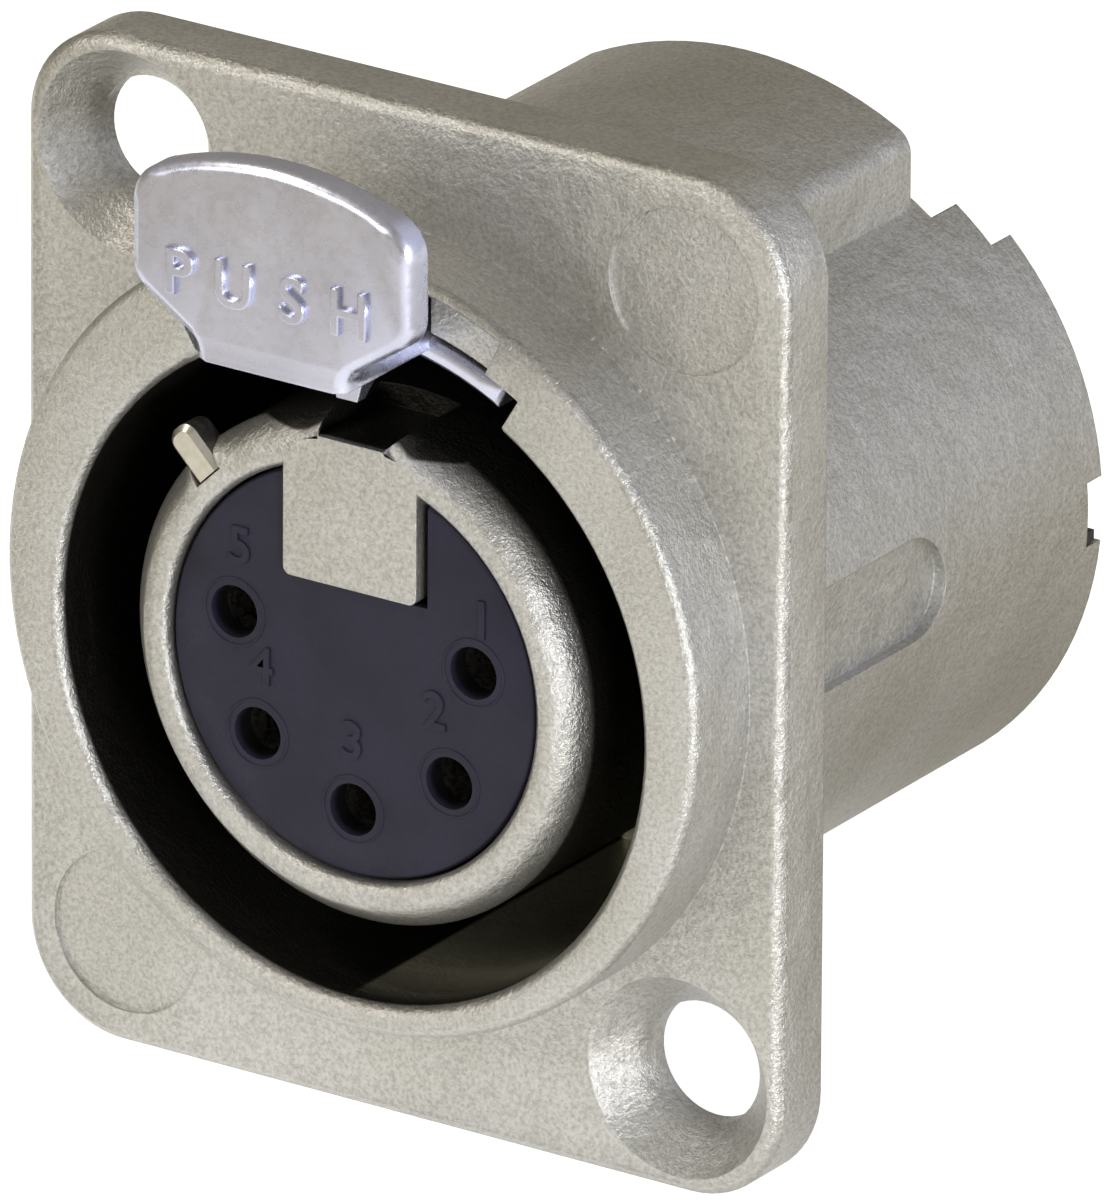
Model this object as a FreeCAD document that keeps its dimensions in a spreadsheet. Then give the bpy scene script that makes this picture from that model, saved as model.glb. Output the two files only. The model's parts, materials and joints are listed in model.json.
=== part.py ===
# Panel socket for a five-pole round audio plug, with a push latch. Millimetres.
# X to the right, Y into the panel, Z up. The origin is the middle of the flange's back face.

import FreeCAD, Part
import Sketcher
import math
import os
import re

SIZES = {
    # Working amounts
    "over": 1.0,  # how far a cutting shape reaches past what it cuts
    "sink": 0.1,  # how far joined shapes reach into each other

    # Flange
    "flange_w": 26.0,  # flange width
    "flange_h": 31.0,  # flange height
    "flange_t": 2.1,  # flange thickness
    "flange_corner": 3.2,  # corner radius of the flange
    "flange_edge": 0.3,  # bevel of the flange's front edge
    "screw_edge": 3.5,  # middle of a screw hole, in from both edges of the flange
    "screw_r": 1.85,  # screw hole radius
    "sink_r": 3.05,  # countersink radius at the front
    "sink_throat": 0.65,  # straight part of the screw hole behind the countersink
    "pad_r": 2.5,  # round recess in the other two corners
    "pad_depth": 0.12,  # depth of the round recess

    # Collar, bore and sleeve
    "collar_r": 11.85,  # collar radius
    "collar_h": 2.75,  # collar height over the flange
    "collar_edge": 0.3,  # bevel of the collar's front edge
    "axis_drop": 0.95,  # the plug's axis lies this far under the flange's middle
    "bore_r": 9.95,  # bore radius
    "bore_floor": 9.6,  # bore floor behind the panel face
    "bore_bevel": 0.28,  # bevel round the mouth of the bore
    "sleeve_r": 7.75,  # inner sleeve, outer radius
    "sleeve_hole_r": 6.29,  # inner sleeve, hole radius
    "sleeve_back": 0.1,  # sleeve end behind the collar's front
    "sleeve_edge": 0.5,  # bevel of the sleeve's end
    "sleeve_bevel": 0.18,  # bevel round the sleeve's hole
    "key_half": 2.27,  # key block, half width
    "key_low": 1.66,  # key block, underside over the flange's middle
    "key_end": 9.0,  # key block, rear end
    "key_round": 0.25,  # key block, rounding of its lower edges
    "dip_half": 1.12,  # notch in the top of the sleeve, half width
    "dip_floor": 6.1,  # notch floor over the flange's middle
    "dip_len": 3.2,  # notch length

    # Body behind the panel
    "body_r": 10.62,  # body radius
    "body_len": 18.17,  # body length behind the panel face
    "web_t": 1.7,  # web that joins the sleeve to the body
    "room_r": 9.4,  # rear chamber radius
    "hump_r": 11.65,  # latch hump, radius of its top
    "hump_half": 5.7,  # latch hump, half width
    "hump_len": 15.7,  # latch hump, length behind the panel face
    "hump_wall": 0.7,  # latch hump, rear wall
    "hump_edge": 0.8,  # latch hump, rounding of its long edges
    "hump_bevel": 0.25,  # latch hump, bevel of its rear edge
    "roof_wall": 0.75,  # wall over the trough for the spring
    "pocket_half": 1.535,  # side pocket, half width
    "pocket_z": -0.37,  # side pocket, middle
    "pocket_end": 9.95,  # side pocket, rear end
    "pocket_depth": 0.42,  # side pocket, depth

    # Latch and the way it slides
    "slide_tilt": 27.5,  # slope of the latch's path in degrees
    "slide_len": 2.0,  # travel of the latch along its path
    "plate_r": 11.1,  # curved plate, outer radius
    "plate_t": 0.8,  # curved plate, thickness
    "plate_angle": 27.7,  # curved plate, half angle in degrees
    "plate_front": 4.5,  # curved plate, front edge ahead of the panel face
    "plate_len": 2.0,  # curved plate, length
    "slot_gap": 0.17,  # gap between the curved plate and the slot over it
    "slot_angle": 30.8,  # slot, half angle in degrees
    "slot_low_r": 8.5,  # slot, inner limit of its cut
    "wide_end": 0.6,  # wide part of the slot ends this far ahead of the panel face
    "tongue_t": 0.6,  # tongue thickness
    "tongue_half": 4.3,  # tongue, half width
    "tongue_end": 9.9,  # tongue, rear end
    "tongue_gap": 0.12,  # room over and under the tongue
    "side_gap": 0.15,  # room beside the tongue
    "ramp_angle": 28.1,  # ramp behind the tongue, half angle in degrees
    "barb_half": 4.7,  # snap barbs, half width over both
    "barb_len": 0.9,  # snap barb length
    "barb_arm": 0.5,  # sprung arm of a barb, width
    "barb_slit": 0.5,  # slit beside the arm, width
    "barb_slit_len": 5.9,  # slit beside the arm, length
    "neck_half": 2.5,  # neck, half width
    "neck_low": 9.45,  # neck, underside
    "neck_t": 0.6,  # neck thickness
    "neck_gap": 0.12,  # room round the neck in the lip
    "neck_root": 0.4,  # the neck reaches this far into the curved plate
    "tab_front": 8.95,  # push tab, front face ahead of the panel face
    "tab_t": 1.1,  # push tab thickness
    "tab_half": 4.74,  # push tab, half width
    "tab_arc_r": 11.0,  # push tab, radius of its top edge
    "tab_top": 15.7,  # push tab, top
    "tab_hip": 11.45,  # push tab, height of its lower corners
    "tab_waist": 9.95,  # push tab, height where it meets the neck
    "tab_top_round": 1.3,  # push tab, rounding of its upper corners
    "tab_hip_round": 1.0,  # push tab, rounding of its lower corners
    "tab_waist_round": 0.6,  # push tab, rounding where it meets the neck
    "tab_bevel": 0.35,  # push tab, bevel round its front
    "plate_bevel": 0.18,  # curved plate, bevel of its front edges
    "nose_half": 0.9,  # latch nose, half width at its root
    "nose_tip_half": 0.35,  # latch nose, half width at its tip
    "nose_tip": 7.5,  # latch nose, tip height
    "nose_tip_len": 0.4,  # latch nose, length of its tip
    "nose_len": 1.6,  # latch nose, length of its root
    "nose_ahead": 0.4,  # latch nose, front ahead of the curved plate
    "scoop_angle": 26.5,  # shallow recess over the slot, half angle in degrees
    "scoop_r": 11.57,  # shallow recess over the slot, outer radius
    "scoop_depth": 0.3,  # shallow recess over the slot, depth

    # Spring
    "coil_r": 0.6,  # spring, mean radius
    "wire_r": 0.16,  # spring, half diagonal of its square wire
    "coil_turns": 4,  # spring, turns
    "trough_r": 0.85,  # trough for the spring, radius
    "coil_z": 9.65,  # height of the spring's axis
    "spigot_half": 0.25,  # spigot for the spring, half width and half height
    "spigot_len": 1.1,  # spigot length

    # Insert and contacts
    "insert_gap": 0.09,  # gap between the insert and the sleeve
    "insert_back": 0.33,  # insert face behind the collar's front
    "insert_bevel": 0.12,  # insert, bevel round its face
    "keyway_gap": 0.08,  # gap beside and under the key block
    "keyway_wide": 0.25,  # wider gap on the key block's right side
    "foot_gap": 0.2,  # gap between the insert's foot and the rear chamber
    "foot_t": 2.0,  # insert foot, thickness
    "pole_circle_r": 4.2,  # contacts, radius of their circle
    "pole_pitch": 51.4286,  # contacts, angle from one to the next
    "pole_first": 12.8571,  # first contact, angle from the X axis
    "pole_hole_r": 0.79,  # contact hole in the insert's face
    "pole_lip": 0.8,  # face thickness in front of a contact
    "pole_room_r": 1.3,  # chamber behind the face, radius
    "pole_gap": 0.05,  # gap between a contact and its chamber
    "pole_tube_r": 0.86,  # contact, hole radius
    "pole_slit": 0.3,  # contact, slit width
    "pole_slit_len": 4.2,  # contact, slit length
    "pole_tube_len": 8.5,  # contact, hole depth
    "cup_r": 1.1,  # solder cup, outer radius
    "cup_hole_r": 0.8,  # solder cup, hole radius
    "cup_out": 1.23,  # solder cup, its end behind the rear rim
    "cup_len": 5.2,  # solder cup, length
    "cup_depth": 3.6,  # solder cup, depth of its hole
    "cup_open": 2.4,  # solder cup, length of its open side

    # Ground contact and rear ring
    "ground_angle": 134.5,  # ground contact, angle from the X axis
    "ground_half": 0.5,  # ground contact, half width
    "ground_low": 6.95,  # ground contact, inner radius
    "ground_high": 7.55,  # ground contact, outer radius of the strip
    "ground_peak": 8.6,  # ground contact, outer radius of its front nub
    "ground_nub": 0.95,  # ground contact, length of its front nub
    "nub_round": 0.42,  # ground contact, rounding of its nub
    "nub_bevel": 0.17,  # ground contact, bevel of the nub's front
    "ground_gap": 0.05,  # gap round the ground contact
    "ground_out": 0.83,  # ground contact, end of its solder tab behind the rear rim
    "ground_eye_r": 0.28,  # ground contact, hole in its solder tab
    "ring_gap": 0.1,  # gap between the rear ring and the chamber
    "ring_in_r": 7.6,  # rear ring, inner radius
    "ring_inset": 2.2,  # rear ring, its rear end inside the rim
    "ring_tab_in": 0.27,  # rear ring, end of its tab inside the rim
    "ring_edge": 0.25,  # rear ring, bevel of its rear edges
    "ring_tab_t": 0.36,  # rear ring, thickness of the tab in the square notch
    "rim_cut": 0.76,  # depth of the square notch in the rear rim
    "rim_notch_z": -1.014,  # square notch, its middle
    "rim_notch_half": 1.0,  # square notch, half width
    "rim_step": 1.0,  # depth of the step in the rear rim
    "rim_step_half": 0.9,  # step in the rear rim, half width
    "rim_step_angle": 51.0,  # step in the rear rim, angle from the X axis
    "top_cut_half": 6.15,  # opening in the top of the rear rim, half width
    "top_cut_gap": 0.15,  # opening in the top of the rear rim, its start behind the hump
}

doc = FreeCAD.newDocument("socket")
sheet = doc.addObject("Spreadsheet::Sheet", "Sizes")
for row, (name, value) in enumerate(SIZES.items(), 1):
    sheet.set("A%d" % row, name)
    sheet.set("B%d" % row, str(value))
    sheet.setAlias("B%d" % row, name)
doc.recompute()

WORD = re.compile(r"[a-z][a-z_]*")


def link(text):
    """Write an expression on the sheet's names."""
    def name(found):
        word = found.group(0)
        return "Sizes." + word if word in SIZES else word
    return WORD.sub(name, str(text))


def bind(item, **values):
    """Tie properties of an object to the sheet."""
    for prop, text in values.items():
        item.setExpression(prop, link(text))


def axis_turn(x, y, z, degrees):
    return FreeCAD.Rotation(FreeCAD.Vector(x, y, z), degrees)


ALONG_Y = axis_turn(1, 0, 0, -90)
FACING_FRONT = axis_turn(1, 0, 0, 90)
ALONG_X = axis_turn(0, 1, 0, 90)
NO_TURN = FreeCAD.Rotation()

# Places used by many pieces
AXIS = "-axis_drop"
FRONT = "-(flange_t + collar_h)"
BEFORE = FRONT + " - over"
RIM = "body_len"
SEAT = "bore_floor + web_t"
FOOT_BACK = SEAT + " + foot_t"
HIGH = "hump_r + over"
LOW = "bore_r / 2"
FRONT_Y = -SIZES["flange_t"] - SIZES["collar_h"]
AXIS_POINT = FreeCAD.Vector(0, 0, -SIZES["axis_drop"])


def place(item, x, y, z, turn=NO_TURN):
    """Set a placement whose position is tied to the sheet."""
    item.Placement = FreeCAD.Placement(FreeCAD.Vector(0, 0, 0), turn)
    for axis, text in zip("xyz", (x, y, z)):
        item.setExpression(".Placement.Base." + axis, link(text))
    return item


def about_axis(item, degrees):
    """Turn a shape drawn above the plug's axis to another angle about it."""
    turn = axis_turn(0, 1, 0, 90 - degrees)
    item.Placement = FreeCAD.Placement(AXIS_POINT, turn).multiply(item.Placement)
    return item


def mirrored(text):
    return "-(%s)" % text, text


def box(name, x, y, z):
    """A box from three pairs of limits."""
    item = doc.addObject("Part::Box", name)
    bind(item, Length="(%s) - (%s)" % (x[1], x[0]))
    bind(item, Width="(%s) - (%s)" % (y[1], y[0]))
    bind(item, Height="(%s) - (%s)" % (z[1], z[0]))
    return place(item, x[0], y[0], z[0])


def rod(name, r, y, x="0", z=AXIS):
    """A cylinder along Y."""
    item = doc.addObject("Part::Cylinder", name)
    bind(item, Radius=r, Height="(%s) - (%s)" % (y[1], y[0]))
    return place(item, x, y[0], z, ALONG_Y)


def slice_rod(name, r, y, half, z=AXIS):
    """A slice of a cylinder along Y that points up, from its half angle."""
    item = doc.addObject("Part::Cylinder", name)
    bind(item, Radius=r, Height="(%s) - (%s)" % (y[1], y[0]), Angle="2 * %s" % half)
    return place(item, "0", y[0], z, axis_turn(0, 1, 0, -90 - SIZES[half]).multiply(ALONG_Y))


def taper(name, r_front, r_back, y, x="0", z=AXIS):
    """A cone along Y."""
    item = doc.addObject("Part::Cone", name)
    bind(item, Radius1=r_front, Radius2=r_back, Height="(%s) - (%s)" % (y[1], y[0]))
    return place(item, x, y[0], z, ALONG_Y)


def fuse(name, *items):
    item = doc.addObject("Part::MultiFuse", name)
    item.Shapes = list(items)
    item.Refine = True
    return item


def overlap(name, *items):
    item = doc.addObject("Part::MultiCommon", name)
    item.Shapes = list(items)
    item.Refine = True
    return item


def cut(name, base, *tools):
    item = doc.addObject("Part::Cut", name)
    item.Base = base
    item.Tool = tools[0] if len(tools) == 1 else fuse(name + "_tool", *tools)
    item.Refine = True
    return item


def finish_edges(kind, name, base, picks):
    """Round or bevel the edges that a test picks; picks is a list of (test, size)."""
    doc.recompute()
    found = []
    for number, edge in enumerate(base.Shape.Edges, 1):
        sizes = [amount for test, amount in picks if test(edge)]
        if sizes:
            found.append((number, sizes[0], sizes[0]))
    if not found:
        raise ValueError("no edge found for " + name)
    item = doc.addObject(kind, name)
    item.Base = base
    item.Edges = found
    doc.recompute()
    return item


def rounded(name, base, *picks):
    return finish_edges("Part::Fillet", name, base, picks)


def bevelled(name, base, *picks):
    return finish_edges("Part::Chamfer", name, base, picks)


def flat_at(axis, value):
    """A test for edges that lie in one plane across an axis."""
    def test(edge):
        low = getattr(edge.BoundBox, axis + "Min")
        high = getattr(edge.BoundBox, axis + "Max")
        return abs(low - value) < 0.005 and abs(high - value) < 0.005
    return test


def along_y(edge):
    """A test for straight edges along Y."""
    limits = edge.BoundBox
    return limits.XLength < 0.005 and limits.ZLength < 0.005 and limits.YLength > 0.05


def near_z(value):
    """A test for edges whose middle is at a height."""
    return lambda edge: abs(edge.CenterOfMass.z - value) < 0.05


def both(first, second):
    return lambda edge: first(edge) and second(edge)


def sector(name, r_in, r_out, half):
    """A sketch of a ring sector that points up, drawn about its own origin."""
    sketch = doc.addObject("Sketcher::SketchObject", name)
    low = math.radians(90 - SIZES[half])
    high = math.radians(90 + SIZES[half])
    inside = 10.0
    outside = 11.0

    def spot(r, angle):
        return FreeCAD.Vector(r * math.cos(angle), r * math.sin(angle), 0)

    def arc(r):
        circle = Part.Circle(FreeCAD.Vector(0, 0, 0), FreeCAD.Vector(0, 0, 1), r)
        return Part.ArcOfCircle(circle, low, high)

    sketch.addGeometry(arc(outside), False)
    sketch.addGeometry(Part.LineSegment(spot(outside, high), spot(inside, high)), False)
    sketch.addGeometry(arc(inside), False)
    sketch.addGeometry(Part.LineSegment(spot(inside, low), spot(outside, low)), False)
    joins = ((0, 3, -1, 1), (2, 3, -1, 1), (0, 2, 1, 1), (1, 2, 2, 2), (2, 1, 3, 1), (3, 2, 0, 1))
    for join in joins:
        sketch.addConstraint(Sketcher.Constraint("Coincident", *join))
    for line in (1, 3):
        sketch.addConstraint(Sketcher.Constraint("PointOnObject", -1, 1, line))
    sketch.addConstraint(Sketcher.Constraint("Horizontal", 0, 1, 0, 2))
    outer = sketch.addConstraint(Sketcher.Constraint("Radius", 0, outside))
    inner = sketch.addConstraint(Sketcher.Constraint("Radius", 2, inside))
    width = 2 * outside * math.cos(low)
    span = sketch.addConstraint(Sketcher.Constraint("DistanceX", 0, 2, 0, 1, width))
    sketch.setExpression("Constraints[%d]" % outer, link(r_out))
    sketch.setExpression("Constraints[%d]" % inner, link(r_in))
    text = "2 * (%s) * sin(%s * 1 deg)" % (r_out, half)
    sketch.setExpression("Constraints[%d]" % span, link(text))
    return sketch


def push(name, sketch, direction, length):
    """A solid swept from a sketch in a straight line."""
    item = doc.addObject("Part::Extrusion", name)
    item.Base = sketch
    item.DirMode = "Custom"
    item.Dir = FreeCAD.Vector(*direction)
    item.Solid = True
    bind(item, LengthFwd=length)
    return item


# The latch's path climbs as it goes back
TILT = math.radians(SIZES["slide_tilt"])
PATH = (0, math.cos(TILT), math.sin(TILT))
RISE = "slide_len * sin(slide_tilt * 1 deg)"
RUN = "slide_len * cos(slide_tilt * 1 deg)"
RAISED_AXIS = AXIS + " + " + RISE

# Flange with rounded corners and a bevelled front edge
flange_box = box("flange_box", mirrored("flange_w / 2"), ("-flange_t", "0"),
                 mirrored("flange_h / 2"))
flange_corners = rounded("flange_corners", flange_box, (along_y, SIZES["flange_corner"]))
flange = bevelled("flange", flange_corners,
                  (flat_at("Y", -SIZES["flange_t"]), SIZES["flange_edge"]))

# Collar round the bore
collar_rod = rod("collar_rod", "collar_r", (FRONT, "-flange_t / 2"), z="0")
collar = bevelled("collar", collar_rod, (flat_at("Y", FRONT_Y), SIZES["collar_edge"]))

# Body, and the hump over the latch
body = rod("body", "body_r", ("-flange_t / 2", RIM))
hump_y = ("-flange_t / 2", "hump_len")
hump_rod = rod("hump_rod", "hump_r", hump_y, z="0")
hump_box = box("hump_box", mirrored("hump_half"), hump_y, (LOW, HIGH))
hump_block = overlap("hump_block", hump_rod, hump_box)
hump_shoulder = math.sqrt(SIZES["hump_r"] ** 2 - SIZES["hump_half"] ** 2)
hump_sides = rounded("hump_sides", hump_block,
                     (both(along_y, near_z(hump_shoulder)), SIZES["hump_edge"]))


def hump_rear(edge):
    return flat_at("Y", SIZES["hump_len"])(edge) and edge.CenterOfMass.z > SIZES["bore_r"] / 2 + 0.01


hump = bevelled("hump", hump_sides, (hump_rear, SIZES["hump_bevel"]))
shell = fuse("shell", flange, collar, body, hump)

# Room for the latch: slot in the collar, its sloping roof, and the channel in the hump
wide = sector("wide", "slot_low_r", "plate_r + slot_gap", "slot_angle")
place(wide, "0", "-plate_front", AXIS, FACING_FRONT)
slot_mouth = push("slot_mouth", wide, (0, -1, 0), "over")
slot_slope = push("slot_slope", wide, PATH, "slide_len")
wide_high = sector("wide_high", "slot_low_r", "plate_r + slot_gap", "slot_angle")
place(wide_high, "0", "-plate_front + " + RUN, RAISED_AXIS, FACING_FRONT)
slot_level = push("slot_level", wide_high, (0, 1, 0), "plate_front - wide_end - " + RUN)
neck_end = "-plate_front + neck_root"
neck_top = "neck_low + neck_t"
neck_room = box("neck_room", mirrored("neck_half + neck_gap"),
                (BEFORE, neck_end + " + " + RUN + " + neck_gap"),
                ("slot_low_r", neck_top + " + neck_gap + " + RISE))
tongue_low = "plate_r - plate_t"
tongue_high = "plate_r - plate_t + tongue_t"
channel_y = ("-wide_end - sink", "tongue_end + tongue_gap")
channel_top = rod("channel_top", tongue_high + " + tongue_gap", channel_y, z=RAISED_AXIS)
channel_low = rod("channel_low", tongue_low + " - tongue_gap", ("-plate_front", RIM))
channel_box = box("channel_box", mirrored("tongue_half + side_gap"), channel_y, (LOW, HIGH))
barb_front = "tongue_end - barb_len"
barb_room = box("barb_room", mirrored("barb_half + side_gap"),
                (barb_front + " - tongue_gap", channel_y[1]), (LOW, HIGH))
channel_plan = fuse("channel_plan", channel_box, barb_room)
channel_full = overlap("channel_full", channel_top, channel_plan)
channel = cut("channel", channel_full, channel_low)
ramp_sketch = sector("ramp_sketch", tongue_low + " - tongue_gap", "hump_r + over", "ramp_angle")
place(ramp_sketch, "0", "tongue_end", AXIS, FACING_FRONT)
ramp_floor = push("ramp_floor", ramp_sketch, PATH, "slide_len + side_gap")
ramp_roof = rod("ramp_roof", tongue_high + " + tongue_gap",
                ("tongue_end", "tongue_end + " + RUN + " + side_gap"), z=RAISED_AXIS)
ramp = overlap("ramp", ramp_floor, ramp_roof)
trough_y = ("bore_floor + side_gap", "hump_len - hump_wall")
trough_rod = rod("trough_rod", "trough_r", trough_y, z="coil_z")
trough_box = box("trough_box", mirrored("trough_r"), trough_y, ("coil_z", "hump_r - roof_wall"))
scoop = slice_rod("scoop", "scoop_r", (BEFORE, FRONT + " + scoop_depth"), "scoop_angle", z="0")

# Bore and rear chamber
bore = rod("bore", "bore_r", (BEFORE, "bore_floor"))
bore_mouth = taper("bore_mouth", "bore_r + bore_bevel", "bore_r", (FRONT, FRONT + " + bore_bevel"))
chamber = rod("chamber", "room_r", (SEAT, RIM + " + over"))
web_hole = rod("web_hole", "sleeve_hole_r", ("bore_floor - over", SEAT + " + over"))

# Two countersunk screw holes on one diagonal, two round recesses on the other
screw_x = "flange_w / 2 - screw_edge"
screw_z = "flange_h / 2 - screw_edge"
corner_cuts = []
for side, sign in (("left", -1), ("right", 1)):
    hole_x = "%d * (%s)" % (sign, screw_x)
    hole_z = "%d * (%s)" % (-sign, screw_z)
    corner_cuts.append(rod("screw_hole_" + side, "screw_r", ("-flange_t - over", "over"),
                           hole_x, hole_z))
    corner_cuts.append(taper("sink_" + side, "sink_r", "screw_r", ("-flange_t", "-sink_throat"),
                             hole_x, hole_z))
    pad_z = "%d * (%s)" % (sign, screw_z)
    corner_cuts.append(rod("pad_" + side, "pad_r", ("-flange_t - over", "-flange_t + pad_depth"),
                           hole_x, pad_z))

# A long pocket with a round end on each side of the body
pockets = []
pocket_round = "pocket_end - pocket_half"
pocket_z = ("pocket_z - pocket_half", "pocket_z + pocket_half")
for side, near, far in (("right", "body_r - pocket_depth", "body_r + over"),
                        ("left", "-(body_r + over)", "pocket_depth - body_r")):
    pockets.append(box("pocket_" + side, (near, far), ("0", pocket_round), pocket_z))
    end = doc.addObject("Part::Cylinder", "pocket_end_" + side)
    bind(end, Radius="pocket_half", Height="(%s) - (%s)" % (far, near))
    pockets.append(place(end, near, pocket_round, "pocket_z", ALONG_X))


def rim_box(name, half, front, back, r):
    """A box drawn above the plug's axis, from its half width, its Y limits and its radii."""
    item = doc.addObject("Part::Box", name)
    bind(item, Length="2 * (%s)" % half, Width="(%s) - (%s)" % (back, front))
    bind(item, Height="(%s) - (%s)" % (r[1], r[0]))
    return place(item, "-(%s)" % half, front, r[0])


def turned(name, half, front, back, r, degrees):
    """The same box, turned about the plug's axis to an angle."""
    item = doc.addObject("Part::Compound", name)
    item.Links = [rim_box(name + "_drawn", half, front, back, r)]
    return about_axis(item, degrees)


# The rear rim is open over the hump's width, with a step on each side and a square notch
WALL = ("room_r - 2 * sink", "body_r + over")
rim_cuts = [box("top_cut", mirrored("top_cut_half"),
                ("hump_len + top_cut_gap", RIM + " + over"), (LOW, HIGH)),
            box("rim_notch", WALL, (RIM + " - rim_cut", RIM + " + over"),
                ("rim_notch_z - rim_notch_half", "rim_notch_z + rim_notch_half"))]
for side, step_at in (("right", SIZES["rim_step_angle"]), ("left", 180 - SIZES["rim_step_angle"])):
    rim_cuts.append(turned("rim_step_" + side, "rim_step_half", RIM + " - rim_step",
                           RIM + " + over", WALL, step_at))

# Slot for the ground contact, along the sleeve and through the web
SLEEVE_FRONT = FRONT + " + sleeve_back"
SLEEVE_FRONT_Y = FRONT_Y + SIZES["sleeve_back"]
ground_room = turned("ground_room", "ground_half + ground_gap", BEFORE, SEAT + " + over",
                     ("ground_low - ground_gap", "sleeve_r + over"), SIZES["ground_angle"])
web_slot = turned("web_slot", "ground_half + ground_gap", LOW, SEAT + " + over",
                  ("ground_low - ground_gap", "ground_high + ground_gap"), SIZES["ground_angle"])

hollow = cut("hollow", shell, slot_mouth, slot_slope, slot_level, neck_room, channel, ramp,
             trough_rod, trough_box, scoop, bore, bore_mouth, chamber, web_hole,
             web_slot, *(corner_cuts + pockets + rim_cuts))

# Inner sleeve with its key block and the notch under the latch's nose
sleeve_rod = rod("sleeve_rod", "sleeve_r", (SLEEVE_FRONT, "bore_floor + web_t / 2"))
sleeve_soft = bevelled("sleeve_soft", sleeve_rod,
                       (flat_at("Y", SLEEVE_FRONT_Y), SIZES["sleeve_edge"]))
sleeve_hole = rod("sleeve_hole", "sleeve_hole_r", (BEFORE, SEAT))
sleeve_mouth = taper("sleeve_mouth", "sleeve_hole_r + sleeve_bevel", "sleeve_hole_r",
                     (SLEEVE_FRONT, SLEEVE_FRONT + " + sleeve_bevel"))
sleeve_tube = cut("sleeve_tube", sleeve_soft, sleeve_hole, sleeve_mouth)
key_box = box("key_box", mirrored("key_half"), (SLEEVE_FRONT, "key_end"),
              ("key_low", "sleeve_hole_r - axis_drop + (sleeve_r - sleeve_hole_r) / 3"))
key = rounded("key", key_box, (both(along_y, near_z(SIZES["key_low"])), SIZES["key_round"]))
sleeve_key = fuse("sleeve_key", sleeve_tube, key)
dip_y = (BEFORE, SLEEVE_FRONT + " + dip_len")
dip_top = "sleeve_r"
dip_box = box("dip_box", mirrored("dip_half"), dip_y, ("dip_floor", dip_top))
dip_side = doc.addObject("Part::Wedge", "dip_side")
bind(dip_side, Xmin="0", Xmax="dip_half", X2min="0", X2max="dip_half + %s - dip_floor" % dip_top)
bind(dip_side, Ymin="0", Ymax="%s - dip_floor" % dip_top)
for limit, text in (("Zmin", "0"), ("Z2min", "0"), ("Zmax", "dip_len + over"),
                    ("Z2max", "dip_len + over")):
    dip_side.setExpression(limit, link(text))
place(dip_side, "0", dip_y[1], "dip_floor", FACING_FRONT)
sleeve = cut("sleeve", sleeve_key, dip_box, dip_side, ground_room)
housing = fuse("housing", hollow, sleeve)

# Outline of the push tab
tab_sketch = doc.addObject("Sketcher::SketchObject", "tab_sketch")
hip = SIZES["tab_half"]
waist = SIZES["neck_half"]
arc_z = SIZES["tab_top"] - SIZES["tab_arc_r"]
lean = math.asin(hip / SIZES["tab_arc_r"])
shoulder = arc_z + SIZES["tab_arc_r"] * math.cos(lean)
outline = [(-waist, SIZES["neck_low"]), (waist, SIZES["neck_low"]), (waist, SIZES["tab_waist"]),
           (hip, SIZES["tab_hip"]), (hip, shoulder), (-hip, shoulder),
           (-hip, SIZES["tab_hip"]), (-waist, SIZES["tab_waist"])]
points = [FreeCAD.Vector(x, z, 0) for x, z in outline]
top_arc = outline.index((hip, shoulder))
for number, start in enumerate(points):
    if number == top_arc:
        circle = Part.Circle(FreeCAD.Vector(0, arc_z, 0), FreeCAD.Vector(0, 0, 1),
                             SIZES["tab_arc_r"])
        tab_sketch.addGeometry(Part.ArcOfCircle(circle, math.pi / 2 - lean, math.pi / 2 + lean))
    else:
        tab_sketch.addGeometry(Part.LineSegment(start, points[(number + 1) % 8]), False)
for number in range(8):
    tab_sketch.addConstraint(Sketcher.Constraint("Coincident", number, 2, (number + 1) % 8, 1))
for first, second in (((0, 1), (0, 2)), ((1, 2), (6, 2)), ((2, 2), (5, 2)), ((3, 2), (4, 2))):
    tab_sketch.addConstraint(Sketcher.Constraint("Symmetric", *first, *second, -2))


def tab_size(kind, element, point, value, text):
    """A dimension of the outline, from the sketch's origin, tied to the sheet."""
    spots = (element,) if kind == "Radius" else (-1, 1, element, point)
    number = tab_sketch.addConstraint(Sketcher.Constraint(kind, *spots, value))
    tab_sketch.setExpression("Constraints[%d]" % number, link(text))


tab_size("DistanceX", 0, 2, waist, "neck_half")
tab_size("DistanceY", 0, 2, SIZES["neck_low"], "neck_low")
tab_size("DistanceX", 1, 2, waist, "neck_half")
tab_size("DistanceY", 1, 2, SIZES["tab_waist"], "tab_waist")
tab_size("DistanceX", 2, 2, hip, "tab_half")
tab_size("DistanceY", 2, 2, SIZES["tab_hip"], "tab_hip")
tab_size("DistanceX", 3, 2, hip, "tab_half")
tab_size("DistanceY", top_arc, 3, arc_z, "tab_top - tab_arc_r")
tab_size("Radius", top_arc, 0, SIZES["tab_arc_r"], "tab_arc_r")

# Push tab and neck
TAB_BACK = "-tab_front + tab_t"
place(tab_sketch, "0", TAB_BACK, "0", FACING_FRONT)
tab_block = push("tab_block", tab_sketch, (0, -1, 0), "tab_t")
tab_corners = rounded("tab_corners", tab_block,
                      (both(along_y, near_z(shoulder)), SIZES["tab_top_round"]),
                      (both(along_y, near_z(SIZES["tab_hip"])), SIZES["tab_hip_round"]),
                      (both(along_y, near_z(SIZES["tab_waist"])), SIZES["tab_waist_round"]))


def tab_rim(edge):
    return flat_at("Y", -SIZES["tab_front"])(edge) and edge.CenterOfMass.z > SIZES["neck_low"] + 0.01


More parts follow.
